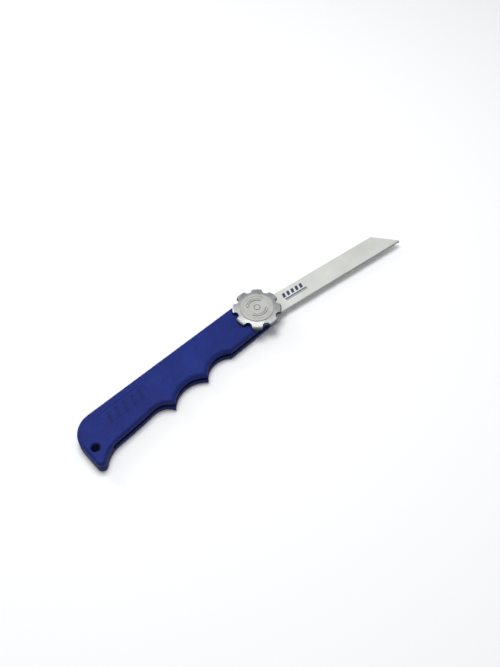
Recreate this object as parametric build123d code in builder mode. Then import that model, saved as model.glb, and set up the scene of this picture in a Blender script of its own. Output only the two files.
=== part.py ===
"""Folding saw with a knob-locked blade: a moulded two-piece handle, a steel blade carrier that
turns between the handle's cheeks, and a low die-cast knob on the pivot bolt.

The saw lies on the flat back of its handle, blade open.  The origin is on the pivot axis at that
back face.  +X runs along the straight spine of the handle towards the blade's tip, +Y towards the
spine, and +Z towards the knob.  All sizes are in millimetres.
"""
import os
from math import asin, cos, degrees, hypot, radians, sin, sqrt

from build123d import *

# ---- driving dimensions: handle -------------------------------------------------------------
handle_thick = 12.5
mid_z = handle_thick / 2
spine_y = 16.7            # straight spine edge above the pivot axis
neck_y = -13.2            # lower edge of the neck
slot_wide = 3.6           # gap between the cheeks that stores the blade
slot_low = mid_z - slot_wide / 2
slot_high = mid_z + slot_wide / 2
slot_end_x = -155.5       # rear end of the slot, inside the pommel
slot_low_y = -30.0        # beyond the finger side, so that the slot is open there
mouth_x = 30.0            # beyond the head, so that the slot is open there too
blade_side_gap = 0.3
slot_roof_y = 11.3        # the slot's floor behind the teeth of the folded blade
grip_round = 4.0          # soft edge along the finger grooves
edge_round = 2.8          # edge along the rest of the outline
back_round = 1.6          # edge round the back face
pommel_top_r = 18.5
pommel_tip_r = 4.1
seam_groove = 0.3         # bevel on each half where the halves meet
lanyard_spot = (-165.6, -9.3)
lanyard_r = 3.1
lanyard_flare = 0.8
slot_corner_r = 6.0
fit_gap = 0.05            # a part laid in its seat
slide_gap = 0.1           # a part that moves or drops into its hole
face_gap = 0.01           # between stacked faces that touch

# ---- driving dimensions: blade and its swing ------------------------------------------------
blade_tilt = 6.8          # the open blade droops to the finger side by this many degrees
fold_angle = 180 - blade_tilt
blade_thick = 0.9
spine_v = 8.8             # blade edges either side of the pivot axis, across the blade
teeth_v = -10.2
tang_half = 6.35          # half of the 12.7 mm tang
tang_tail = -8.0
shoulder_u = 15.6         # where the tang widens into the blade
tip_u = 144.0
tip_slope = 17.0          # the slanted end is this much longer on the tooth side
tooth_pitch = 1.8
tooth_depth = 1.0
tooth_rake = 0.7          # the tooth's point, as a share of the pitch
first_tooth_u = 24.0
last_tooth_u = 140.0
heel_v = teeth_v + 0.2    # plain edge before the first tooth
heel_step = 1.0
spine_step = 2.6
tip_blunt = 1.8

# ---- driving dimensions: pivot stack --------------------------------------------------------
bolt_r = 2.0
bolt_head_r = 5.5
bolt_head_high = 2.2
bolt_top_z = 15.5
bolt_end_bevel = 0.4
key_side = 6.0            # square neck that keeps the bolt from turning
running_gap = 0.05
plate_r = 10.0            # steel wear plates let into the cheeks
plate_thick = 1.0
plate_flat = 8.6          # flat on the spine side that keys each plate
washer_r = 8.4
carrier_low = mid_z - 1.5
carrier_top = mid_z + blade_thick / 2 + 0.02
cover_top = mid_z + 1.4
channel_floor = mid_z - blade_thick / 2 - face_gap
hub_r = 13.1              # round part of the blade carrier
relief_r = 10.45          # reduced radius that passes the stop pin
nose_u = 15.2
nose_half = 8.2
nose_corner_r = 1.5
pocket_r = hub_r + blade_side_gap
washer_low = cover_top + running_gap
washer_high = washer_low + 0.4
back_plate_low = carrier_low - running_gap - plate_thick
front_plate_low = washer_high + 0.02

# ---- driving dimensions: stop and detent ----------------------------------------------------
stop_r = 1.25
stop_bevel = 0.25
stop_gap = 0.02           # left between the stop pin and what it stops
stop_reach = 11.9         # distance of the stop pin from the pivot axis
ball_r = 1.25
ball_reach = 7.6
ball_angle = 225.0
ball_ride_z = carrier_low + 0.15    # top of the ball while it rides in the track
spring_floor_z = 0.9
spring_r = 1.15
spring_wall = 0.35
track_deep = 0.2          # round track in the carrier that the ball rides in
track_half = 0.8
dimple_deep = 0.45        # one dimple each for open, half folded and folded
dimple_r = 1.0

# ---- driving dimensions: knob ---------------------------------------------------------------
knob_r = 19.3
knob_low = handle_thick + 0.3
knob_rim_z = 15.4         # top of the rim at its outer edge
knob_shoulder_z = 16.1    # top of the bevel round the rim
rim_bevel = 1.0
lobe_soft_r = 0.9         # softened corners beside the notches
knob_top_z = 16.4         # top face where it meets the cap
cap_r = 13.2
cap_seat_z = 15.9
cap_top_z = 16.9
cap_lip = 0.8             # narrow flat on the knob round the cap
cap_bevel = 0.35
cap_ring_r = 11.2         # shallow ring pressed into the cap
cap_ring_wide = 0.7
cap_ring_deep = 0.25
knob_hub_r = 7.9
lobe_count = 8
notch_r = 3.1
notch_floor_r = 15.8
notch_angle = 24.9
recess_r = 8.4            # recess in the handle's face for the spring and washer
recess_z = 10.9
wave_high = 0.8
wave_outer_r = 8.0
wave_inner_r = 5.0
face_washer_high = 0.6
hub_low_z = recess_z + wave_high + face_washer_high
insert_across = 8.0
thread_gap = 0.02


def turned(degree, reach):
    """Point at a reach from the pivot axis, at an angle from +X."""
    return (reach * cos(radians(degree)), reach * sin(radians(degree)))


def blade_plane(z):
    """Plane at height z whose X axis runs along the open blade and Y towards its spine."""
    return Plane(origin=(0, 0, z), x_dir=(*turned(-blade_tilt, 1), 0), z_dir=(0, 0, 1))


# folded, the stop pin rests against the straight lower flank of the carrier's nose
folded_pin_angle = degrees(asin((nose_half + stop_r + stop_gap) / stop_reach))
stop_angle = 180 - folded_pin_angle
stop_spot = turned(stop_angle, stop_reach)
ball_spot = turned(ball_angle, ball_reach)
screw_spots = [(-24, 13.9), (-88, 13.9), (-160, 8.0), (-160.5, -1.5)]
screw_r = 1.1
screw_head_r = 2.0
screw_head_z = 2.6        # seat of each screw head, deep in its counterbore
screw_head_high = 1.6
screw_tip_z = 10.2
screw_end_room = 0.3
stop_low_z = 2.0
cover_screw_spots = [(-3.5, 8.6), (3.0, -8.4)]
cover_screw_r = 0.8
cover_head_r = 1.4
cover_screw_long = 1.6
panel_deep = 0.25
panel_rear_top = (-151, 10.5)
panel_rear_low = (-151, -4)
panel_front_low = (-112, -4)
panel_front_top = (-112, 10.5)
panel_nose = (-108.6, 3.2)
knob_wall = 2.2
knob_hollow_z = 14.2      # roof of the ring-shaped hollow under the knob

# ---- shared outlines ------------------------------------------------------------------------
rear_corner = (-171.9, spine_y)
pommel_tip = (-172.7, -28.4)
pommel_inside = (-164.7, -21.0)
belly_rear = (-149.0, -14.5)
belly_front = (-115.5, -11.9)
cusp_rear = (-101.2, -20.1)
groove_rear_top = (-83.5, -11.4)
cusp_front = (-67.6, -18.3)
groove_front_top = (-53.0, -9.6)
neck_corner = (-40.2, -14.0)
head_front = ((spine_y - neck_y) / 2, (spine_y + neck_y) / 2)

with BuildSketch() as handle_shape:
    with BuildLine():
        Line((0, spine_y), rear_corner)
        Line(rear_corner, pommel_tip)
        slope = Line(pommel_tip, pommel_inside)
        hollow = TangentArc(pommel_inside, belly_rear, tangent=slope % 1)
        belly = TangentArc(belly_rear, belly_front, tangent=hollow % 1)
        TangentArc(belly_front, cusp_rear, tangent=belly % 1)
        ThreePointArc(cusp_rear, groove_rear_top, cusp_front)
        ThreePointArc(cusp_front, groove_front_top, neck_corner)
        Line(neck_corner, (0, neck_y))
        ThreePointArc((0, neck_y), head_front, (0, spine_y))
    make_face()
    fillet(handle_shape.vertices().sort_by_distance(rear_corner)[0], radius=pommel_top_r)
    fillet(handle_shape.vertices().sort_by_distance(pommel_tip)[0], radius=pommel_tip_r)

# The slot is open to the whole finger side and to the front, where the blade comes out.
mouth_v = spine_v + blade_side_gap
mouth_near = blade_plane(0).from_local_coords((sqrt(pocket_r**2 - mouth_v**2), mouth_v, 0))
mouth_far = blade_plane(0).from_local_coords((mouth_x, mouth_v, 0))
slot_corner = (slot_end_x, slot_roof_y)
with BuildSketch() as slot_shape:
    with BuildLine():
        Polyline(
            (0, slot_roof_y),
            slot_corner,
            (slot_end_x, slot_low_y),
            (mouth_far.X, slot_low_y),
            (mouth_far.X, mouth_far.Y),
            (mouth_near.X, mouth_near.Y),
            (0, slot_roof_y),
        )
    make_face()
    fillet(slot_shape.vertices().sort_by_distance(slot_corner)[0], radius=slot_corner_r)
    Circle(pocket_r)

with BuildSketch() as plate_shape:
    Circle(plate_r)
    with Locations((0, plate_flat + plate_r)):
        Rectangle(2 * plate_r, 2 * plate_r, mode=Mode.SUBTRACT)

# The carrier's rim is cut back over the arc that passes the stop pin as the blade folds.
pin_half_angle = degrees(asin((stop_r + stop_gap) / stop_reach))
relief_start = stop_angle + blade_tilt - pin_half_angle
relief_sweep = 360 - degrees(asin(nose_half / hub_r)) - relief_start
with BuildSketch() as carrier_shape:
    Circle(hub_r)
    with BuildLine():
        relief = CenterArc((0, 0), relief_r, relief_start, relief_sweep)
        beyond = CenterArc((0, 0), nose_u, relief_start, relief_sweep)
        Line(relief @ 0, beyond @ 0)
        Line(relief @ 1, beyond @ 1)
    make_face(mode=Mode.SUBTRACT)
    with Locations((nose_u / 2, 0)):
        Rectangle(nose_u, 2 * nose_half)
    fillet(carrier_shape.vertices().group_by(Axis.X)[-1], radius=nose_corner_r)

with BuildSketch() as tang_shape:
    with Locations((tang_tail / 2 + nose_u, 0)):
        Rectangle(2 * nose_u - tang_tail, 2 * (tang_half + fit_gap))


def rim_edges(body, z):
    """Edges of the outline at height z."""
    return body.edges().filter_by_position(Axis.Z, z - 0.01, z + 0.01)


def groove_edges(body, z):
    """The two edges at height z that run along the finger grooves."""
    return [
        edge
        for edge in rim_edges(body, z)
        if cusp_rear[0] < (edge @ 0.5).X < neck_corner[0] and (edge @ 0.5).Y < 0
    ]


def outer_edges(body, z):
    """The edges at height z round the rest of the outline, once the grooves are rounded."""
    return [
        edge
        for edge in rim_edges(body, z)
        if not (cusp_rear[0] + 3 < (edge @ 0.5).X < neck_corner[0] and (edge @ 0.5).Y < 0)
    ]


# ---- handle ---------------------------------------------------------------------------------
with BuildPart() as handle_front:
    with BuildSketch(Plane.XY.offset(mid_z)):
        add(handle_shape.sketch)
    extrude(amount=mid_z)
    fillet(groove_edges(handle_front, handle_thick), radius=grip_round)
    fillet(outer_edges(handle_front, handle_thick), radius=edge_round)
    chamfer(rim_edges(handle_front, mid_z), length=seam_groove)
    # blade slot, wear plate seat, bolt hole and the recess under the knob
    with BuildSketch(Plane.XY.offset(mid_z)):
        add(slot_shape.sketch)
    extrude(amount=slot_wide / 2, mode=Mode.SUBTRACT)
    with BuildSketch(Plane.XY.offset(mid_z)):
        add(plate_shape.sketch)
        offset(amount=fit_gap)
    extrude(amount=front_plate_low + plate_thick + face_gap - mid_z, mode=Mode.SUBTRACT)
    with BuildSketch(Plane.XY.offset(recess_z)):
        Circle(recess_r)
    extrude(amount=handle_thick, mode=Mode.SUBTRACT)
    with BuildSketch(Plane.XY.offset(mid_z)):
        Circle(bolt_r + 2 * slide_gap)
    extrude(amount=handle_thick, mode=Mode.SUBTRACT)
    # stop pin and screw holes are blind; the lanyard hole goes through and is flared outside
    with BuildSketch(Plane.XY.offset(mid_z)):
        with Locations(stop_spot):
            Circle(stop_r)
        with Locations(*screw_spots):
            Circle(screw_r)
    extrude(amount=screw_tip_z + screw_end_room - mid_z, mode=Mode.SUBTRACT)
    with BuildSketch(Plane.XY.offset(mid_z)):
        with Locations(lanyard_spot):
            Circle(lanyard_r)
    extrude(amount=mid_z, mode=Mode.SUBTRACT)
    with BuildSketch(Plane.XY.offset(handle_thick)):
        with Locations(lanyard_spot):
            Circle(lanyard_r + lanyard_flare)
    extrude(amount=-lanyard_flare, taper=45, mode=Mode.SUBTRACT)
    # shallow panel on the grip with a round front end
    with BuildSketch(Plane.XY.offset(handle_thick - panel_deep)):
        with BuildLine():
            Line(panel_rear_top, panel_rear_low)
            Line(panel_rear_low, panel_front_low)
            ThreePointArc(panel_front_low, panel_nose, panel_front_top)
            Line(panel_front_top, panel_rear_top)
        make_face()
    extrude(amount=1, mode=Mode.SUBTRACT)

with BuildPart() as handle_back:
    with BuildSketch():
        add(handle_shape.sketch)
    extrude(amount=mid_z)
    fillet(rim_edges(handle_back, 0), radius=back_round)
    chamfer(rim_edges(handle_back, mid_z), length=seam_groove)
    with BuildSketch(Plane.XY.offset(slot_low)):
        add(slot_shape.sketch)
    extrude(amount=slot_wide, mode=Mode.SUBTRACT)
    with BuildSketch(Plane.XY.offset(back_plate_low - face_gap)):
        add(plate_shape.sketch)
        offset(amount=fit_gap)
    extrude(amount=mid_z, mode=Mode.SUBTRACT)
    # recess and square key for the bolt's head
    with BuildSketch():
        Circle(bolt_head_r + slide_gap)
    extrude(amount=bolt_head_high, mode=Mode.SUBTRACT)
    with BuildSketch():
        Rectangle(key_side + fit_gap, key_side + fit_gap)
    extrude(amount=mid_z, mode=Mode.SUBTRACT)
    with BuildSketch(Plane.XY.offset(stop_low_z)):
        with Locations(stop_spot):
            Circle(stop_r)
    extrude(amount=mid_z, mode=Mode.SUBTRACT)
    with BuildSketch(Plane.XY.offset(spring_floor_z)):
        with Locations(ball_spot):
            Circle(ball_r + slide_gap)
    extrude(amount=mid_z, mode=Mode.SUBTRACT)
    with BuildSketch():
        with Locations(*screw_spots):
            Circle(screw_r + slide_gap)
    extrude(amount=mid_z, mode=Mode.SUBTRACT)
    with BuildSketch():
        with Locations(*screw_spots):
            Circle(screw_head_r + 2 * slide_gap)
    extrude(amount=screw_head_z, mode=Mode.SUBTRACT)
    with BuildSketch():
        with Locations(lanyard_spot):
            Circle(lanyard_r)
    extrude(amount=mid_z, mode=Mode.SUBTRACT)
    with BuildSketch():
        with Locations(lanyard_spot):
            Circle(lanyard_r + lanyard_flare)
    extrude(amount=lanyard_flare, taper=45, mode=Mode.SUBTRACT)

with BuildPart() as handle_screws:
    for x, y in screw_spots:
        with BuildSketch(Plane.XY.offset(screw_head_z - screw_head_high)):
            with Locations((x, y)):
                Circle(screw_head_r)
        extrude(amount=screw_head_high)
        with BuildSketch(Plane.XY.offset(screw_head_z)):
            with Locations((x, y)):
                Circle(screw_r)
        extrude(amount=screw_tip_z - screw_head_z)

# ---- pivot stack ----------------------------------------------------------------------------
with BuildPart() as pivot_bolt:
    with BuildSketch():
        Circle(bolt_head_r)
    extrude(amount=bolt_head_high - face_gap)
    with BuildSketch():
        Rectangle(key_side, key_side)
    extrude(amount=back_plate_low - fit_gap)
    with BuildSketch():
        Circle(bolt_r)
    extrude(amount=bolt_top_z)
    chamfer(pivot_bolt.edges().group_by(Axis.Z)[-1], length=bolt_end_bevel)

with BuildPart() as back_wear_plate:
    with BuildSketch(Plane.XY.offset(back_plate_low)):
        add(plate_shape.sketch)
        Circle(bolt_r + slide_gap, mode=Mode.SUBTRACT)
        with Locations(ball_spot):
            Circle(ball_r + slide_gap, mode=Mode.SUBTRACT)
    extrude(amount=plate_thick)

with BuildPart() as front_wear_plate:
    with BuildSketch(Plane.XY.offset(front_plate_low)):
        add(plate_shape.sketch)
        Circle(bolt_r + slide_gap, mode=Mode.SUBTRACT)
    extrude(amount=plate_thick)

with BuildPart() as thrust_washer:
    with BuildSketch(Plane.XY.offset(washer_low)):
        Circle(washer_r)
        Circle(bolt_r + slide_gap, mode=Mode.SUBTRACT)
    extrude(amount=washer_high - washer_low)

with BuildPart() as stop_pin:
    with BuildSketch(Plane.XY.offset(stop_low_z + slide_gap)):
        with Locations(stop_spot):
            Circle(stop_r)
    extrude(amount=screw_tip_z - stop_low_z - slide_gap)
    chamfer(stop_pin.edges().group_by(Axis.Z)[0], length=stop_bevel)
    chamfer(stop_pin.edges().group_by(Axis.Z)[-1], length=stop_bevel)

# ---- blade and its carrier ------------------------------------------------------------------
with BuildPart() as blade_carrier:
    with BuildSketch(blade_plane(carrier_low)):
        add(carrier_shape.sketch)
    extrude(amount=carrier_top - carrier_low)
    with BuildSketch(blade_plane(channel_floor)):
        add(tang_shape.sketch)
    extrude(amount=mid_z, mode=Mode.SUBTRACT)
    with BuildSketch(blade_plane(carrier_low)):
        Circle(bolt_r + running_gap)
    extrude(amount=mid_z, mode=Mode.SUBTRACT)
    with BuildSketch(blade_plane(carrier_top - cover_screw_long)):
        with Locations(*cover_screw_spots):
            Circle(cover_screw_r)
    extrude(amount=mid_z, mode=Mode.SUBTRACT)
    # ball track and the dimples that hold the blade open, half folded and folded
    with BuildSketch(Plane.XY.offset(carrier_low)):
        Circle(ball_reach + track_half)
        Circle(ball_reach - track_half, mode=Mode.SUBTRACT)
    extrude(amount=track_deep, mode=Mode.SUBTRACT)
    with BuildSketch(Plane.XY.offset(carrier_low)):
        with PolarLocations(ball_reach, 3, start_angle=ball_angle, angular_range=fold_angle * 3 / 2):
            Circle(dimple_r)
    extrude(amount=dimple_deep, mode=Mode.SUBTRACT)

with BuildPart() as carrier_cover:
    with BuildSketch(blade_plane(carrier_top + face_gap)):
        add(carrier_shape.sketch)
        Circle(bolt_r + running_gap, mode=Mode.SUBTRACT)
        with Locations(*cover_screw_spots):
            Circle(cover_screw_r, mode=Mode.SUBTRACT)
    extrude(amount=cover_top - carrier_top - face_gap)
    with BuildSketch(blade_plane(cover_top)):
        with Locations(*cover_screw_spots):
            Circle(cover_head_r)
    extrude(amount=-(cover_head_r - cover_screw_r), taper=45, mode=Mode.SUBTRACT)

with BuildPart() as carrier_screws:
    for u, v in cover_screw_spots:
        with BuildSketch(blade_plane(carrier_top - cover_screw_long)):
            with Locations((u, v)):
                Circle(cover_screw_r)
        extrude(amount=cover_top - carrier_top + cover_screw_long - face_gap)
        with BuildSketch(blade_plane(cover_top - face_gap)):
            with Locations((u, v)):
                Circle(cover_head_r - face_gap)
        extrude(amount=-(cover_head_r - face_gap - cover_screw_r), taper=45)

tooth_count = int((last_tooth_u - first_tooth_u) / tooth_pitch)
teeth = []
for number in range(tooth_count):
    root_u = first_tooth_u + number * tooth_pitch
    teeth.append((root_u, teeth_v + tooth_depth))
    teeth.append((root_u + tooth_rake * tooth_pitch, teeth_v))
last_u = first_tooth_u + tooth_count * tooth_pitch
with BuildPart() as blade:
    with BuildSketch(blade_plane(mid_z - blade_thick / 2)):
        with BuildLine():
            Polyline(
                (tang_tail, -tang_half),
                (shoulder_u, -tang_half),
                (shoulder_u + heel_step, heel_v),
                (first_tooth_u - heel_step, heel_v),
                *teeth,
                (last_u, teeth_v + tooth_depth),
                (tip_u - heel_step, heel_v),
                (tip_u, heel_v + tip_blunt),
                (tip_u - tip_slope, spine_v),
                (shoulder_u + spine_step, spine_v),
                (shoulder_u, tang_half),
                (tang_tail, tang_half),
                (tang_tail, -tang_half),
            )
        make_face()
        Circle(bolt_r + slide_gap, mode=Mode.SUBTRACT)
    extrude(amount=blade_thick)

# ---- detent ---------------------------------------------------------------------------------
ball_centre_z = ball_ride_z - ball_r
with BuildPart() as detent_ball:
    with Locations((*ball_spot, ball_centre_z)):
        Sphere(ball_r)

spring_high = ball_centre_z - ball_r - spring_floor_z
with BuildPart() as detent_spring:
    with BuildSketch(Plane.XY.offset(spring_floor_z)):
        with Locations(ball_spot):
            Circle(spring_r)
            Circle(spring_r - spring_wall, mode=Mode.SUBTRACT)
    extrude(amount=spring_high - face_gap)

# ---- knob -----------------------------------------------------------------------------------
with BuildPart() as wave_spring:
    with BuildSketch(Plane.XY.offset(recess_z)):
        Circle(wave_outer_r)
        Circle(wave_inner_r, mode=Mode.SUBTRACT)
    extrude(amount=wave_high)

with BuildPart() as face_washer:
    with BuildSketch(Plane.XY.offset(recess_z + wave_high + face_gap)):
        Circle(recess_r - 2 * slide_gap)
        Circle(bolt_r + 2 * slide_gap, mode=Mode.SUBTRACT)
    extrude(amount=face_washer_high - 2 * face_gap)

with BuildPart() as knob_body:
    with BuildSketch(Plane.XZ):
        with BuildLine():
            Polyline(
                (0, hub_low_z),
                (knob_hub_r, hub_low_z),
                (knob_hub_r, knob_hollow_z),
                (notch_floor_r - knob_wall, knob_hollow_z),
                (notch_floor_r - knob_wall, knob_low),
                (knob_r, knob_low),
                (knob_r, knob_rim_z),
                (knob_r - rim_bevel, knob_shoulder_z),
                (cap_r + cap_lip, knob_top_z),
                (cap_r + fit_gap, knob_top_z),
                (cap_r + fit_gap, cap_seat_z),
                (0, cap_seat_z),
                (0, hub_low_z),
            )
        make_face()
    revolve(axis=Axis.Z)
    with BuildSketch(Plane.XY.offset(hub_low_z)):
        with PolarLocations(notch_floor_r + notch_r, lobe_count, start_angle=notch_angle):
            Circle(notch_r)
    extrude(amount=handle_thick, mode=Mode.SUBTRACT)
    upright = knob_body.edges().filter_by(Axis.Z)
    fillet([edge for edge in upright if hypot((edge @ 0).X, (edge @ 0).Y) > knob_r - 0.1], radius=lobe_soft_r)
    with BuildSketch(Plane.XY.offset(hub_low_z)):
        RegularPolygon(insert_across / 2, 6, major_radius=False)
    extrude(amount=handle_thick, mode=Mode.SUBTRACT)

with BuildPart() as knob_insert:
    with BuildSketch(Plane.XY.offset(hub_low_z)):
        RegularPolygon(insert_across / 2 - face_gap, 6, major_radius=False)
        Circle(bolt_r + thread_gap, mode=Mode.SUBTRACT)
    extrude(amount=cap_seat_z - hub_low_z - slide_gap)

with BuildPart() as knob_cap:
    with BuildSketch(Plane.XY.offset(cap_seat_z + face_gap)):
        Circle(cap_r)
    extrude(amount=cap_top_z - cap_seat_z - face_gap)
    chamfer(knob_cap.edges().group_by(Axis.Z)[-1], length=cap_bevel)
    with BuildSketch(Plane.XY.offset(cap_top_z)):
        Circle(cap_ring_r)
        Circle(cap_ring_r - cap_ring_wide, mode=Mode.SUBTRACT)
    extrude(amount=-cap_ring_deep, mode=Mode.SUBTRACT)

# ---- export ---------------------------------------------------------------------------------
nodes = {
    "handle_front": handle_front,
    "handle_back": handle_back,
    "handle_screws": handle_screws,
    "pivot_bolt": pivot_bolt,
    "back_wear_plate": back_wear_plate,
    "front_wear_plate": front_wear_plate,
    "thrust_washer": thrust_washer,
    "stop_pin": stop_pin,
    "blade_carrier": blade_carrier,
    "carrier_cover": carrier_cover,
    "carrier_screws": carrier_screws,
    "blade": blade,
    "detent_ball": detent_ball,
    "detent_spring": detent_spring,
    "wave_spring": wave_spring,
    "face_washer": face_washer,
    "knob_body": knob_body,
    "knob_insert": knob_insert,
    "knob_cap": knob_cap,
}
os.makedirs("parts", exist_ok=True)
for label, node in nodes.items():
    node.part.label = label
    export_step(node.part, f"parts/{label}.step")
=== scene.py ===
import math

import bmesh
import bpy
from mathutils import Matrix, Vector


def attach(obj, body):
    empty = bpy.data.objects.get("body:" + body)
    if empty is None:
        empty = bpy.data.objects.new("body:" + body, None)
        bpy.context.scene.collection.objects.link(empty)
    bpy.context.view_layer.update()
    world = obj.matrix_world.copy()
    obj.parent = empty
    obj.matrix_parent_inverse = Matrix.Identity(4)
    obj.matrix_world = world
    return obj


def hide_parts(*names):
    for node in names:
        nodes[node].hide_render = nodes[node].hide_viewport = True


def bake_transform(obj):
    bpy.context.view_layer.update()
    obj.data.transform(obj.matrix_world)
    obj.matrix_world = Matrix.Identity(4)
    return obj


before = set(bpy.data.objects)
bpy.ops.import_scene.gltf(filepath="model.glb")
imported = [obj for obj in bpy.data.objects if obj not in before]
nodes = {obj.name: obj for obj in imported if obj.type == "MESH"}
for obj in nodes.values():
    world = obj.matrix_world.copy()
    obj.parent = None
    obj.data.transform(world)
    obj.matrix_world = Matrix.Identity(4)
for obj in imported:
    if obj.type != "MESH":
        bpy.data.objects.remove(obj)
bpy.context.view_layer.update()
mm = 0.001

# ---- dimensions repeated from the CAD model, in metres ----------------------------------------
blade_tilt = math.radians(6.8)
blade_low = 5.8 * mm
blade_high = 6.7 * mm
spine_v = 8.8 * mm
teeth_v = -10.2 * mm
gullet_v = -9.2 * mm
heel_v = -10.0 * mm
tang_half = 6.35 * mm
tang_tail = -8.0 * mm
tang_hole_r = 2.1 * mm
shoulder_u = 15.6 * mm
tip_u = 144.0 * mm
tip_slope = 17.0 * mm
tip_blunt = 1.8 * mm
heel_step = 1.0 * mm
spine_step = 2.6 * mm
first_tooth_u = 24.0 * mm
tooth_pitch = 1.8 * mm
tooth_rake = 0.7            # the tooth's point, as a share of the pitch
tooth_count = 64
handle_screw_spots = ((-24, 13.9), (-88, 13.9), (-160, 8.0), (-160.5, -1.5))   # in millimetres
carrier_screw_spots = ((-3.5, 8.6), (3.0, -8.4))   # along and across the blade, in millimetres
panel_z = 12.25 * mm        # floor of the panel in the grip
cap_top_z = 16.9 * mm
ball_reach = 7.6 * mm
ball_angle = math.radians(225)
spring_r = 1.15 * mm
spring_low = 0.9 * mm
spring_high = 2.39 * mm
wave_low = 10.9 * mm
wave_high = 11.7 * mm
wave_inner_r = 5.0 * mm
wave_outer_r = 8.0 * mm

# ---- dimensions of what only this model shows -------------------------------------------------
tooth_set = 0.16 * mm       # how far each tooth is bent to its side
wire_r = 0.14 * mm
wave_sheet = 0.25 * mm
knob_tumble = 0.28 * mm     # how far the knob's corners are rounded

# ---- helpers for materials --------------------------------------------------------------------


def new_material(name):
    """An empty node material, its tree and its shader, ready for links."""
    material = bpy.data.materials.new(name)
    material.use_nodes = True
    tree = material.node_tree
    return material, tree, tree.nodes["Principled BSDF"]


def coordinates(tree, scale=(1, 1, 1), turn=(0, 0, 0)):
    """Object-space coordinates, stretched and turned."""
    place = tree.nodes.new("ShaderNodeTexCoord")
    mapping = tree.nodes.new("ShaderNodeMapping")
    mapping.inputs["Scale"].default_value = scale
    mapping.inputs["Rotation"].default_value = turn
    tree.links.new(place.outputs["Object"], mapping.inputs["Vector"])
    return mapping.outputs["Vector"]


def noise(tree, vector, scale, detail=4.0, roughness=0.55):
    """Cloudy noise from 0 to 1."""
    node = tree.nodes.new("ShaderNodeTexNoise")
    node.inputs["Scale"].default_value = scale
    node.inputs["Detail"].default_value = detail
    node.inputs["Roughness"].default_value = roughness
    tree.links.new(vector, node.inputs["Vector"])
    return node.outputs["Fac"]


def ramp(tree, value, stops):
    """Colours along a value: stops are (position, colour)."""
    node = tree.nodes.new("ShaderNodeValToRGB")
    elements = node.color_ramp.elements
    while len(elements) < len(stops):
        elements.new(0.5)
    for element, (position, colour) in zip(elements, stops):
        element.position = position
        element.color = (*colour, 1)
    tree.links.new(value, node.inputs["Fac"])
    return node.outputs["Color"]


def spread(tree, value, low, high, start=0.0, end=1.0):
    """Maps a value between start and end onto a range from low to high."""
    node = tree.nodes.new("ShaderNodeMapRange")
    node.inputs["From Min"].default_value = start
    node.inputs["From Max"].default_value = end
    node.inputs["To Min"].default_value = low
    node.inputs["To Max"].default_value = high
    tree.links.new(value, node.inputs["Value"])
    return node.outputs["Result"]


def bump(tree, shader, height, strength, distance, onto=None):
    """Bump from a height, on top of an earlier bump if one is given."""
    node = tree.nodes.new("ShaderNodeBump")
    node.inputs["Strength"].default_value = strength
    node.inputs["Distance"].default_value = distance
    tree.links.new(height, node.inputs["Height"])
    if onto is not None:
        tree.links.new(onto, node.inputs["Normal"])
    tree.links.new(node.outputs["Normal"], shader.inputs["Normal"])
    return node.outputs["Normal"]


def mixed(tree, share, first, second):
    """The first colour or value at share 0, the second at share 1."""
    node = tree.nodes.new("ShaderNodeMix")
    node.data_type = "RGBA"
    tree.links.new(share, node.inputs[0])
    tree.links.new(first, node.inputs[6])
    tree.links.new(second, node.inputs[7])
    return node.outputs[2]


def math_step(tree, operation, value, factor=None):
    """One step of arithmetic on a value."""
    node = tree.nodes.new("ShaderNodeMath")
    node.operation = operation
    tree.links.new(value, node.inputs[0])
    if factor is not None:
        node.inputs[1].default_value = factor
    return node.outputs["Value"]


def parts_of(tree, vector):
    """The X, Y and Z outputs of a vector."""
    split = tree.nodes.new("ShaderNodeSeparateXYZ")
    tree.links.new(vector, split.inputs["Vector"])
    return split.outputs


def facing(tree, wall, flat):
    """1 where the surface faces up or down, 0 on upright walls."""
    surface = tree.nodes.new("ShaderNodeNewGeometry")
    upright = math_step(tree, "ABSOLUTE", parts_of(tree, surface.outputs["Normal"])["Z"])
    return spread(tree, upright, 0.0, 1.0, wall, flat)


def linear(red, green, blue):
    """A colour given in 0 to 255 screen values, as the shader's linear values."""
    values = []
    for channel in (red, green, blue):
        share = channel / 255
        dark = share <= 0.04045
        values.append(share / 12.92 if dark else ((share + 0.055) / 1.055) ** 2.4)
    return tuple(values)


def tones(*stops):
    """Ramp stops from a position and a screen colour each."""
    return [(position, linear(*colour)) for position, colour in stops]


def paint(material, *names):
    """Gives CAD nodes that material."""
    for name in names:
        target = nodes[name]
        target.data.materials.clear()
        target.data.materials.append(material)


# ---- materials --------------------------------------------------------------------------------


def handle_plastic(name, shade):
    """Navy moulded plastic with a fine spark-eroded grain, darker on its upright walls by painted
    shade.
    """
    material, tree, shader = new_material(name)
    place = coordinates(tree)
    broad = noise(tree, place, 38, 5)
    clouds = [
        (at, linear(*(shade * value for value in tone)))
        for at, tone in ((0.3, (18, 31, 98)), (0.55, (23, 38, 114)), (0.75, (29, 47, 129)))
    ]
    grain = noise(tree, place, 1500, 4, 0.7)
    pitted = ramp(tree, grain, tones((0.36, (8, 15, 56)), (0.6, (34, 54, 138))))
    share = math_step(tree, "MULTIPLY", grain, 0.7)
    face = mixed(tree, share, ramp(tree, broad, clouds), pitted)
    # painted shade: upright walls get a darker navy than the up-facing faces
    wall = ramp(tree, broad, tones((0.3, (13, 21, 68)), (0.75, (20, 32, 92))))
    colour = mixed(tree, facing(tree, 0.2, 0.85), wall, face)
    tree.links.new(colour, shader.inputs["Base Color"])
    tree.links.new(spread(tree, noise(tree, place, 120), 0.5, 0.66), shader.inputs["Roughness"])
    shader.inputs["Specular IOR Level"].default_value = 0.13
    pits = bump(tree, shader, grain, 0.55, 0.00016)
    bump(tree, shader, noise(tree, place, 300, 3), 0.15, 0.0003, onto=pits)
    return material


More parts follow.
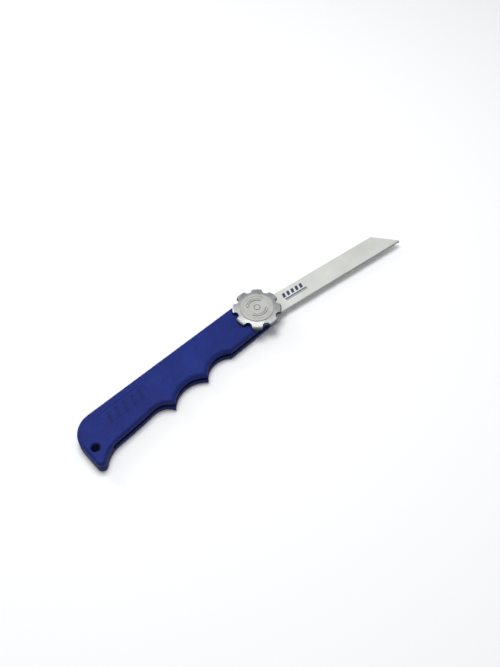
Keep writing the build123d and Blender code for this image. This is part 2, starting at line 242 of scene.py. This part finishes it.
def blade_paint():
    """Off-white sprayed paint with orange peel and rubbed streaks, ground off along the teeth."""
    material, tree, shader = new_material("blade_paint")
    place = coordinates(tree)
    turn = (0, 0, blade_tilt)
    across = parts_of(tree, coordinates(tree, turn=turn))["Y"]
    painted = spread(tree, across, 0.0, 1.0, teeth_v + 1.2 * mm, teeth_v + 1.6 * mm)
    white = tones((0.3, (194, 196, 188)), (0.6, (205, 207, 200)), (0.8, (213, 214, 209)))
    cream = ramp(tree, noise(tree, place, 45), white)
    streaks = noise(tree, coordinates(tree, (300, 6000, 6000), turn), 1, 3)
    bare = ramp(tree, streaks, tones((0.3, (120, 122, 126)), (0.7, (168, 170, 173))))
    tree.links.new(mixed(tree, painted, bare, cream), shader.inputs["Base Color"])
    tree.links.new(spread(tree, painted, 0.9, 0.0), shader.inputs["Metallic"])
    rubbed = noise(tree, coordinates(tree, (60, 700, 700), turn), 1, 3)
    tree.links.new(spread(tree, rubbed, 0.32, 0.5), shader.inputs["Roughness"])
    bump(tree, shader, noise(tree, place, 900, 2), 0.12, 0.0001)
    return material


def knob_metal():
    """Satin die-cast metal: polished on top, duller on walls and in the notches, and darker there
    by painted shade.
    """
    material, tree, shader = new_material("knob_metal")
    place = coordinates(tree)
    flat = facing(tree, 0.35, 0.85)
    top = ramp(tree, noise(tree, place, 160), tones((0.3, (166, 167, 168)), (0.7, (198, 199, 200))))
    # painted shade: walls and notches get a much darker colour than the top
    side = ramp(tree, noise(tree, place, 220), tones((0.3, (62, 62, 66)), (0.7, (96, 97, 101))))
    tree.links.new(mixed(tree, flat, side, top), shader.inputs["Base Color"])
    shader.inputs["Metallic"].default_value = 1.0
    mottle = noise(tree, place, 420)
    polished = spread(tree, mottle, 0.26, 0.38)
    cast = spread(tree, mottle, 0.48, 0.6)
    tree.links.new(mixed(tree, flat, cast, polished), shader.inputs["Roughness"])
    bump(tree, shader, noise(tree, place, 700, 3), 0.12, 0.00008)
    return material


def ground_steel():
    """Ground steel with fine scratches along X."""
    material, tree, shader = new_material("ground_steel")
    place = coordinates(tree, scale=(40, 900, 900))
    grey = tones((0.3, (150, 152, 156)), (0.7, (184, 186, 190)))
    tree.links.new(ramp(tree, noise(tree, place, 3, 3), grey), shader.inputs["Base Color"])
    shader.inputs["Metallic"].default_value = 1.0
    tree.links.new(spread(tree, noise(tree, place, 5, 3), 0.26, 0.44), shader.inputs["Roughness"])
    bump(tree, shader, noise(tree, place, 4, 3), 0.15, 0.00006)
    return material


def dark_steel():
    """Blackened fastener steel, worn bright here and there."""
    material, tree, shader = new_material("dark_steel")
    place = coordinates(tree)
    worn = noise(tree, place, 700, 5)
    black = tones((0.45, (34, 34, 36)), (0.72, (74, 75, 78)))
    tree.links.new(ramp(tree, worn, black), shader.inputs["Base Color"])
    shader.inputs["Metallic"].default_value = 0.85
    tree.links.new(spread(tree, worn, 0.36, 0.55), shader.inputs["Roughness"])
    bump(tree, shader, noise(tree, place, 2200, 2), 0.15, 0.00006)
    return material


def satin(name, low, high, metallic, roughness, scales, grain, grain_depth):
    """A two-tone satin finish; scales are those of its tones, its roughness and its grain."""
    material, tree, shader = new_material(name)
    place = coordinates(tree)
    tone_scale, roughness_scale, grain_scale = scales
    colour = ramp(tree, noise(tree, place, tone_scale), tones((0.3, low), (0.7, high)))
    tree.links.new(colour, shader.inputs["Base Color"])
    shader.inputs["Metallic"].default_value = metallic
    patches = spread(tree, noise(tree, place, roughness_scale, 3), *roughness)
    tree.links.new(patches, shader.inputs["Roughness"])
    bump(tree, shader, noise(tree, place, grain_scale, 2), grain, grain_depth)
    return material


navy = handle_plastic("navy_plastic", 1.0)
# a darker copy of the navy plastic: painted shade that makes the grip bars' low relief stand out
navy_painted_shade = handle_plastic("navy_painted_shade", 0.72)
cream = blade_paint()
silver = knob_metal()
steel = ground_steel()
black = dark_steel()
grey = satin(
    "cap_grey", (171, 171, 165), (191, 191, 186), 0.35, (0.34, 0.46), (140, 500, 1800), 0.15,
    0.00008,
)
brass = satin(
    "brass", (176, 140, 78), (206, 172, 104), 1.0, (0.28, 0.42), (260, 600, 2000), 0.12,
    0.00006,
)
bronze = satin(
    "bronze", (150, 106, 62), (182, 134, 84), 1.0, (0.28, 0.42), (260, 600, 2000), 0.12,
    0.00006,
)
ink = satin(
    "printing_ink", (26, 34, 74), (46, 56, 104), 0.0, (0.4, 0.55), (900, 600, 2500), 0.1,
    0.00004,
)

paint(navy, "handle_front", "handle_back")
paint(cream, "blade")
paint(silver, "knob_body")
paint(grey, "knob_cap")
paint(black, "handle_screws", "pivot_bolt", "carrier_screws")
paint(steel, "back_wear_plate", "front_wear_plate", "stop_pin", "blade_carrier", "carrier_cover")
paint(steel, "detent_ball", "detent_spring", "wave_spring", "face_washer")
paint(brass, "knob_insert")
paint(bronze, "thrust_washer")

# ---- helpers for meshes -----------------------------------------------------------------------


def ring(z, radius, count=24, centre=(0, 0)):
    """Points round an upright axis; radius is a number or a function of the angle and z."""
    points = []
    for step in range(count):
        angle = 2 * math.pi * step / count
        reach = radius(angle, z) if callable(radius) else radius
        x = centre[0] + reach * math.cos(angle)
        y = centre[1] + reach * math.sin(angle)
        points.append((x, y, z))
    return points


def rings(profile, count=24, centre=(0, 0)):
    """Rings for pairs of height and radius, both in millimetres."""
    return [ring(z * mm, radius * mm, count, centre) for z, radius in profile]


def hexagon(flat):
    """Radius function of a hexagon with that half width across its flats."""
    sector = math.pi / 3
    return lambda angle, z: flat / math.cos((angle % sector) - sector / 2)


def square(half):
    """Radius function of a square with that half width."""
    return lambda angle, z: half / max(abs(math.cos(angle)), abs(math.sin(angle)))


def thread(root, crest, pitch, start, end):
    """Radius function of a screw thread that fades in and out over one pitch."""
    def radius(angle, z):
        turn = (z / pitch - angle / (2 * math.pi)) % 1
        fade = max(0.0, min(1.0, (z - start) / pitch, (end - z) / pitch))
        return root + (crest - root) * (1 - abs(2 * turn - 1)) * fade
    return radius


def thread_rows(radius, start, end, pitch, count=24, centre=(0, 0)):
    """Six rings to each turn of a thread."""
    steps = math.ceil((end - start) / (pitch / 6))
    return [
        ring(start + (end - start) * step / steps, radius, count, centre)
        for step in range(steps + 1)
    ]


def skin(mesh, rows, caps=True):
    """Faces between closed rows of points, with flat caps on the first and last row."""
    lines = [[mesh.verts.new(point) for point in row] for row in rows]
    count = len(rows[0])
    for low, high in zip(lines, lines[1:]):
        for step in range(count):
            after = (step + 1) % count
            mesh.faces.new((low[step], low[after], high[after], high[step]))
    if caps:
        mesh.faces.new(list(reversed(lines[0])))
        mesh.faces.new(lines[-1])


def slab(mesh, outline, low, high, draft=0.0):
    """A flat raised shape with slightly sloping sides; the outline runs anticlockwise."""
    middle_x = sum(x for x, y in outline) / len(outline)
    middle_y = sum(y for x, y in outline) / len(outline)
    shrunk = []
    for x, y in outline:
        away = math.hypot(x - middle_x, y - middle_y)
        share = 1 - draft / away
        shrunk.append((middle_x + (x - middle_x) * share, middle_y + (y - middle_y) * share))
    skin(mesh, [[(x, y, low) for x, y in outline], [(x, y, high) for x, y in shrunk]])


def slanted_bars(start, pitch, wide, lean, low, high):
    """Outlines of five slanted bars side by side."""
    outlines = []
    for step in range(5):
        left = start + pitch * step
        right = left + wide
        outlines.append([(left, low), (right, low), (right + lean, high), (left + lean, high)])
    return outlines


def plate_point(u, v, z):
    """A point on the open blade: u along it from the pivot, v towards its spine."""
    return (
        u * math.cos(blade_tilt) + v * math.sin(blade_tilt),
        -u * math.sin(blade_tilt) + v * math.cos(blade_tilt),
        z,
    )


def finish_piece(mesh, name, material, body, replaced=None, smooth=35):
    """Turns a bmesh into an object; body is None for a piece that is attached to no body."""
    bmesh.ops.recalc_face_normals(mesh, faces=mesh.faces)
    data = bpy.data.meshes.new(name)
    mesh.to_mesh(data)
    mesh.free()
    data.materials.append(material)
    piece = bpy.data.objects.new(name, data)
    bpy.context.scene.collection.objects.link(piece)
    if smooth:
        data.shade_smooth()
        data.set_sharp_from_angle(angle=math.radians(smooth))
    if body:
        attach(piece, body)
    if replaced:
        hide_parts(replaced)
    return piece


# ---- detailed pieces --------------------------------------------------------------------------


def handle_screw_set():
    """Four hexagon socket screws with coarse threads for plastic, their heads at the back."""
    mesh = bmesh.new()
    pitch = 1.0 * mm
    cut = thread(0.86 * mm, 1.1 * mm, pitch, 3.0 * mm, 9.8 * mm)
    socket = hexagon(0.82 * mm)
    head = ((1.0, 1.7), (1.08, 1.9), (1.28, 2.0), (2.6, 2.0), (2.6, 0.95))
    for x, y in handle_screw_spots:
        spot = (x * mm, y * mm)
        skin(mesh, [
            ring(1.95 * mm, socket, centre=spot),
            ring(1.06 * mm, socket, centre=spot),
            ring(1.0 * mm, hexagon(0.92 * mm), centre=spot),
            *rings(head, centre=spot),
            *thread_rows(cut, 2.9 * mm, 9.9 * mm, pitch, centre=spot),
            ring(10.2 * mm, 0.4 * mm, centre=spot),
        ])
    return finish_piece(mesh, "handle_screw_set", black, "handle", "handle_screws")


def carrier_screw_set():
    """Two countersunk screws with a hexagon socket in the head."""
    mesh = bmesh.new()
    pitch = 0.4 * mm
    cut = thread(0.62 * mm, 0.8 * mm, pitch, 5.2 * mm, 6.7 * mm)
    head = ((7.06, 0.79), (7.62, 1.38), (7.64, 1.3))
    for u, v in carrier_screw_spots:
        spot = plate_point(u * mm, v * mm, 0)[:2]
        skin(mesh, [
            ring(5.13 * mm, 0.5 * mm, centre=spot),
            *thread_rows(cut, 5.2 * mm, 6.8 * mm, pitch, centre=spot),
            *rings(head, centre=spot),
            ring(7.64 * mm, hexagon(0.55 * mm), centre=spot),
            ring(7.3 * mm, hexagon(0.5 * mm), centre=spot),
        ])
    return finish_piece(
        mesh, "carrier_screw_set", black, "blade_set", "carrier_screws",
    )


def threaded_bolt():
    """The pivot bolt: flat round head with a ring groove, square neck, shank and M4 thread."""
    mesh = bmesh.new()
    pitch = 0.7 * mm
    round_count = 48
    cut = thread(1.66 * mm, 2.0 * mm, pitch, 11.4 * mm, 15.3 * mm)
    head = (
        (0, 3.5), (0.1, 3.6), (0.1, 3.9), (0, 4.0),
        (0, 5.25), (0.08, 5.42), (0.25, 5.5), (2.19, 5.5),
    )
    neck = square(2.99 * mm)
    shank = ((3.65, 1.99), (11.2, 1.99))
    skin(mesh, [
        *rings(head, round_count),
        ring(2.19 * mm, neck, round_count),
        ring(3.5 * mm, neck, round_count),
        ring(3.65 * mm, square(2.85 * mm), round_count),
        *rings(shank, round_count),
        *thread_rows(cut, 11.35 * mm, 15.3 * mm, pitch, round_count),
        ring(15.5 * mm, 1.4 * mm, round_count),
    ])
    return finish_piece(mesh, "threaded_bolt", black, "handle", "pivot_bolt")


def set_blade():
    """The blade with its teeth bent alternately to either side."""
    mesh = bmesh.new()
    # where the slanted tip crosses the blade's middle line
    tip_mid = tip_u - tip_slope * (0 - heel_v - tip_blunt) / (spine_v - heel_v - tip_blunt)
    hole_steps = 12
    spine_arc = []
    for step in range(hole_steps + 1):
        angle = math.pi - math.pi * step / hole_steps
        spine_arc.append((tang_hole_r * math.cos(angle), tang_hole_r * math.sin(angle), 0.0))
    teeth_arc = [(u, -v, 0.0) for u, v, _ in reversed(spine_arc)]
    # each outline point has a third value: how far it leans out of the blade's plane
    tail = [(tang_tail, 0, 0.0)]
    spine_side = [
        (tip_mid, 0, 0.0), (tip_u - tip_slope, spine_v, 0.0),
        (shoulder_u + spine_step, spine_v, 0.0), (shoulder_u, tang_half, 0.0),
        (tang_tail, tang_half, 0.0),
    ]
    tang_side = [
        (tang_tail, -tang_half, 0.0), (shoulder_u, -tang_half, 0.0),
        (shoulder_u + heel_step, heel_v, 0.0), (first_tooth_u - heel_step, heel_v, 0.0),
    ]
    tip_side = [(tip_u - heel_step, heel_v, 0.0), (tip_u, heel_v + tip_blunt, 0.0)]
    gullets = [
        (first_tooth_u + step * tooth_pitch, gullet_v, 0.0) for step in range(tooth_count + 1)
    ]
    points = []
    for step in range(tooth_count):
        lean = tooth_set if step % 2 else -tooth_set
        points.append((gullets[step][0] + tooth_rake * tooth_pitch, teeth_v, lean))
    teeth = gullets[:1]
    for point, gullet in zip(points, gullets[1:]):
        teeth += [point, gullet]
    made = {}

    def corner(point, z):
        """The mesh corner for an outline point on the face at height z."""
        u, v, lean = point
        key = (round(u * 1e7), round(v * 1e7), round((z + lean) * 1e7))
        if key not in made:
            made[key] = mesh.verts.new(plate_point(u, v, z + lean))
        return made[key]

    # each face is split along the middle line, through the hole in the tang
    halves = (
        tail + spine_arc + spine_side,
        tail + tang_side + gullets + tip_side + spine_side[:1] + teeth_arc,
    )
    for z in (blade_low, blade_high):
        for half in halves:
            mesh.faces.new([corner(point, z) for point in half])
        for point, before, after in zip(points, gullets, gullets[1:]):
            mesh.faces.new([corner(before, z), corner(point, z), corner(after, z)])
    rim = tail + tang_side + teeth + tip_side + spine_side
    hole_rim = spine_arc[:-1] + teeth_arc[:-1]
    for loop in (rim, hole_rim):
        for point, after in zip(loop, loop[1:] + loop[:1]):
            mesh.faces.new([
                corner(point, blade_low), corner(after, blade_low),
                corner(after, blade_high), corner(point, blade_high),
            ])
    return finish_piece(mesh, "set_blade", cream, "blade_set", "blade", smooth=20)


def blade_print():
    """A generic printed mark: slanted bars over two lines, with no lettering."""
    mesh = bmesh.new()
    line_start, line_end = 28 * mm, 49.5 * mm
    shapes = slanted_bars(27.5 * mm, 4.3 * mm, 2.5 * mm, 1.1 * mm, 0.8 * mm, 5.0 * mm)
    for low, high in ((-1.5 * mm, -0.4 * mm), (-2.6 * mm, -2.1 * mm)):
        shapes.append([(line_start, low), (line_end, low), (line_end, high), (line_start, high)])
    for shape in shapes:
        outline = [plate_point(u, v, 0)[:2] for u, v in shape]
        slab(mesh, outline, blade_high - 0.01 * mm, blade_high + 0.02 * mm)
    return finish_piece(mesh, "blade_print", ink, "blade_set", smooth=0)


def coil_spring():
    """A closed-end compression spring of round wire under the detent ball."""
    mesh = bmesh.new()
    turns, steps_per_turn, wire_sides = 4, 28, 8
    flat_share = 0.12           # share of the wire at each end that lies almost flat
    axis_x = ball_reach * math.cos(ball_angle)
    axis_y = ball_reach * math.sin(ball_angle)
    rise = spring_high - spring_low - 2 * wire_r
    rows = []
    steps = turns * steps_per_turn
    for step in range(steps + 1):
        share = step / steps
        angle = 2 * math.pi * turns * share
        climb = min(1.0, max(0.0, (share - flat_share) / (1 - 2 * flat_share)))
        z = spring_low + wire_r + rise * (flat_share * share + (1 - flat_share) * climb)
        row = []
        for side in range(wire_sides):
            around = 2 * math.pi * side / wire_sides
            out = spring_r - wire_r + wire_r * math.cos(around)
            x = axis_x + out * math.cos(angle)
            y = axis_y + out * math.sin(angle)
            row.append((x, y, z + wire_r * math.sin(around)))
        rows.append(row)
    skin(mesh, rows)
    piece = finish_piece(mesh, "coil_spring", steel, None, "detent_spring")
    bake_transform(piece)
    return piece


def wave_washer():
    """A spring washer of thin sheet with three waves, under the knob's face washer."""
    mesh = bmesh.new()
    waves, steps = 3, 96
    section = [
        (wave_inner_r, 0), (wave_outer_r, 0),
        (wave_outer_r, wave_sheet), (wave_inner_r, wave_sheet),
    ]
    rows = []
    for step in range(steps):
        angle = 2 * math.pi * step / steps
        wave = 0.5 - 0.5 * math.cos(waves * angle)
        lift = wave_low + (wave_high - wave_low - wave_sheet) * wave
        rows.append([(r * math.cos(angle), r * math.sin(angle), lift + z) for r, z in section])
    # the last row repeats the first, and the two are merged
    rows.append(rows[0])
    skin(mesh, rows, caps=False)
    bmesh.ops.remove_doubles(mesh, verts=mesh.verts, dist=1e-7)
    piece = finish_piece(mesh, "wave_washer", steel, None, "wave_spring")
    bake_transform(piece)
    return piece


def turn_symbol(name, low, high, grow, draft, material):
    """A generic turn symbol for the knob's cap: two curved arrows and a centre dot.

    grow widens it on every side, and draft slopes its sides.
    """
    mesh = bmesh.new()
    sweep, steps = 105, 18      # the arrow's band, in degrees and in steps
    point_sweep = 17            # the arrow's point reaches this many degrees further
    band_inner, band_outer = 7.0 * mm - grow, 8.3 * mm + grow
    head_inner, head_outer = 6.1 * mm - grow, 9.2 * mm + grow
    point_reach = 7.65 * mm
    grow_reach = 8 * mm         # growth at the point is turned into an angle at this radius
    section = (
        (band_inner, low), (band_outer, low),
        (band_outer - draft, high), (band_inner + draft, high),
    )
    for start in (20, 200):
        rows = []
        for step in range(steps + 1):
            angle = math.radians(start + sweep * step / steps)
            rows.append([(r * math.cos(angle), r * math.sin(angle), z) for r, z in section])
        skin(mesh, rows)
        end = math.radians(start + sweep)
        point = math.radians(start + sweep + point_sweep) + grow / grow_reach
        corners = ((head_inner, end), (head_outer, end), (point_reach, point))
        outline = [(r * math.cos(angle), r * math.sin(angle)) for r, angle in corners]
        slab(mesh, outline, low, high, draft)
    dot_r = 2.3 * mm + grow
    skin(mesh, [ring(low, dot_r, 32), ring(high, dot_r - draft, 32)])
    return finish_piece(mesh, name, material, "knob", smooth=30)


def grip_bars():
    """Five slanted low bars in the handle's panel, for grip, in a darker navy that is painted
    shade.
    """
    mesh = bmesh.new()
    for outline in slanted_bars(-146 * mm, 7.2 * mm, 2.4 * mm, 2.8 * mm, -1.6 * mm, 8.0 * mm):
        slab(mesh, outline, panel_z - 0.02 * mm, panel_z + 0.2 * mm, 0.45 * mm)
    return finish_piece(
        mesh, "grip_bars", navy_painted_shade, "handle", smooth=0,
    )


handle_screw_set()
carrier_screw_set()
threaded_bolt()
set_blade()
blade_print()
coil_spring()
wave_washer()
turn_symbol(
    "cap_relief", cap_top_z - 0.01 * mm, cap_top_z + 0.2 * mm, 0, 0.12 * mm, grey,
)
# a thin dark step round the symbol: a painted shadow along its edge
turn_symbol(
    "cap_relief_painted_shadow", cap_top_z - 0.02 * mm, cap_top_z + 0.03 * mm, 0.35 * mm, 0.02 * mm, black,
)
grip_bars()

# the knob's corners are tumbled slightly round
soften = nodes["knob_body"].modifiers.new("tumbled_corners", "BEVEL")
soften.width = knob_tumble
soften.segments = 2
soften.limit_method = "ANGLE"
soften.angle_limit = math.radians(38)

# ---- stage: floor, light and camera -----------------------------------------------------------

floor_half = 12
floor_mesh = bpy.data.meshes.new("floor")
floor_mesh.from_pydata(
    [(x * floor_half, y * floor_half, 0) for x, y in ((-1, -1), (1, -1), (1, 1), (-1, 1))],
    [], [(0, 1, 2, 3)],
)
floor = bpy.data.objects.new("floor", floor_mesh)
bpy.context.scene.collection.objects.link(floor)
floor_material, _, floor_shader = new_material("floor_paper")
floor_shader.inputs["Base Color"].default_value = (0.96, 0.96, 0.96, 1)
floor_shader.inputs["Roughness"].default_value = 0.9
floor_mesh.materials.append(floor_material)
floor.location.z = -0.2 * mm

view_turn = math.radians(42.61)   # the saw lies turned by this much in the picture


def from_view(right, away, up):
    """A point given to the right of, away from and above the pivot as the camera sees it."""
    return Vector((
        right * math.cos(view_turn) + away * math.sin(view_turn),
        -right * math.sin(view_turn) + away * math.cos(view_turn),
        up,
    ))


def soft_light(name, spot, aim, size, power):
    """A square area light aimed at a point."""
    data = bpy.data.lights.new(name, "AREA")
    data.shape = "SQUARE"
    data.size = size
    data.energy = power
    light = bpy.data.objects.new(name, data)
    light.location = spot
    light.rotation_euler = (aim - spot).to_track_quat("-Z", "Y").to_euler()
    bpy.context.scene.collection.objects.link(light)


middle = Vector((-0.02, 0, 0))
soft_light("key_light", from_view(-0.1, 0.1, 1.0), middle, 0.45, 6.2)
soft_light("side_light", from_view(-0.8, 0.5, 0.5), middle, 0.4, 2.0)

# a studio dome, bright overhead and dim lower down
world = bpy.data.worlds.new("studio")
world.use_nodes = True
sky = world.node_tree
direction = sky.nodes.new("ShaderNodeTexCoord")
dome = ramp(sky, parts_of(sky, direction.outputs["Generated"])["Z"], [
    (0.0, (0.42, 0.43, 0.45)),
    (0.25, (0.26, 0.27, 0.29)),
    (0.55, (0.30, 0.31, 0.33)),
    (0.8, (0.62, 0.64, 0.67)),
    (1.0, (1.0, 1.0, 1.0)),
])
sky.links.new(dome, sky.nodes["Background"].inputs["Color"])
sky.nodes["Background"].inputs["Strength"].default_value = 0.85
bpy.context.scene.world = world
bpy.context.scene.view_settings.view_transform = "Standard"

# The camera looks down at 54.7 degrees from the finger side, with a short telephoto lens.
elevation = math.radians(54.68)
roll = math.radians(-0.63)
distance = 0.6536
focal = 44.0
sensor = 36.0
camera_data = bpy.data.cameras.new("camera")
camera_data.lens = focal
camera_data.sensor_fit = "VERTICAL"
camera_data.sensor_height = sensor
camera = bpy.data.objects.new("camera", camera_data)
bpy.context.scene.collection.objects.link(camera)
right = from_view(1, 0, 0)
up = from_view(0, math.sin(elevation), math.cos(elevation))
back = from_view(0, -math.cos(elevation), math.sin(elevation))
axis_right = right * math.cos(roll) + up * math.sin(roll)
axis_up = -right * math.sin(roll) + up * math.cos(roll)
# the pivot shows a little right of and above the middle of the picture
offset_right = 0.00561
offset_up = 0.01082
spot = -axis_right * offset_right - axis_up * offset_up + back * distance
camera.matrix_world = Matrix((
    (axis_right.x, axis_up.x, back.x, spot.x),
    (axis_right.y, axis_up.y, back.y, spot.y),
    (axis_right.z, axis_up.z, back.z, spot.z),
    (0, 0, 0, 1),
))
bpy.context.scene.camera = camera
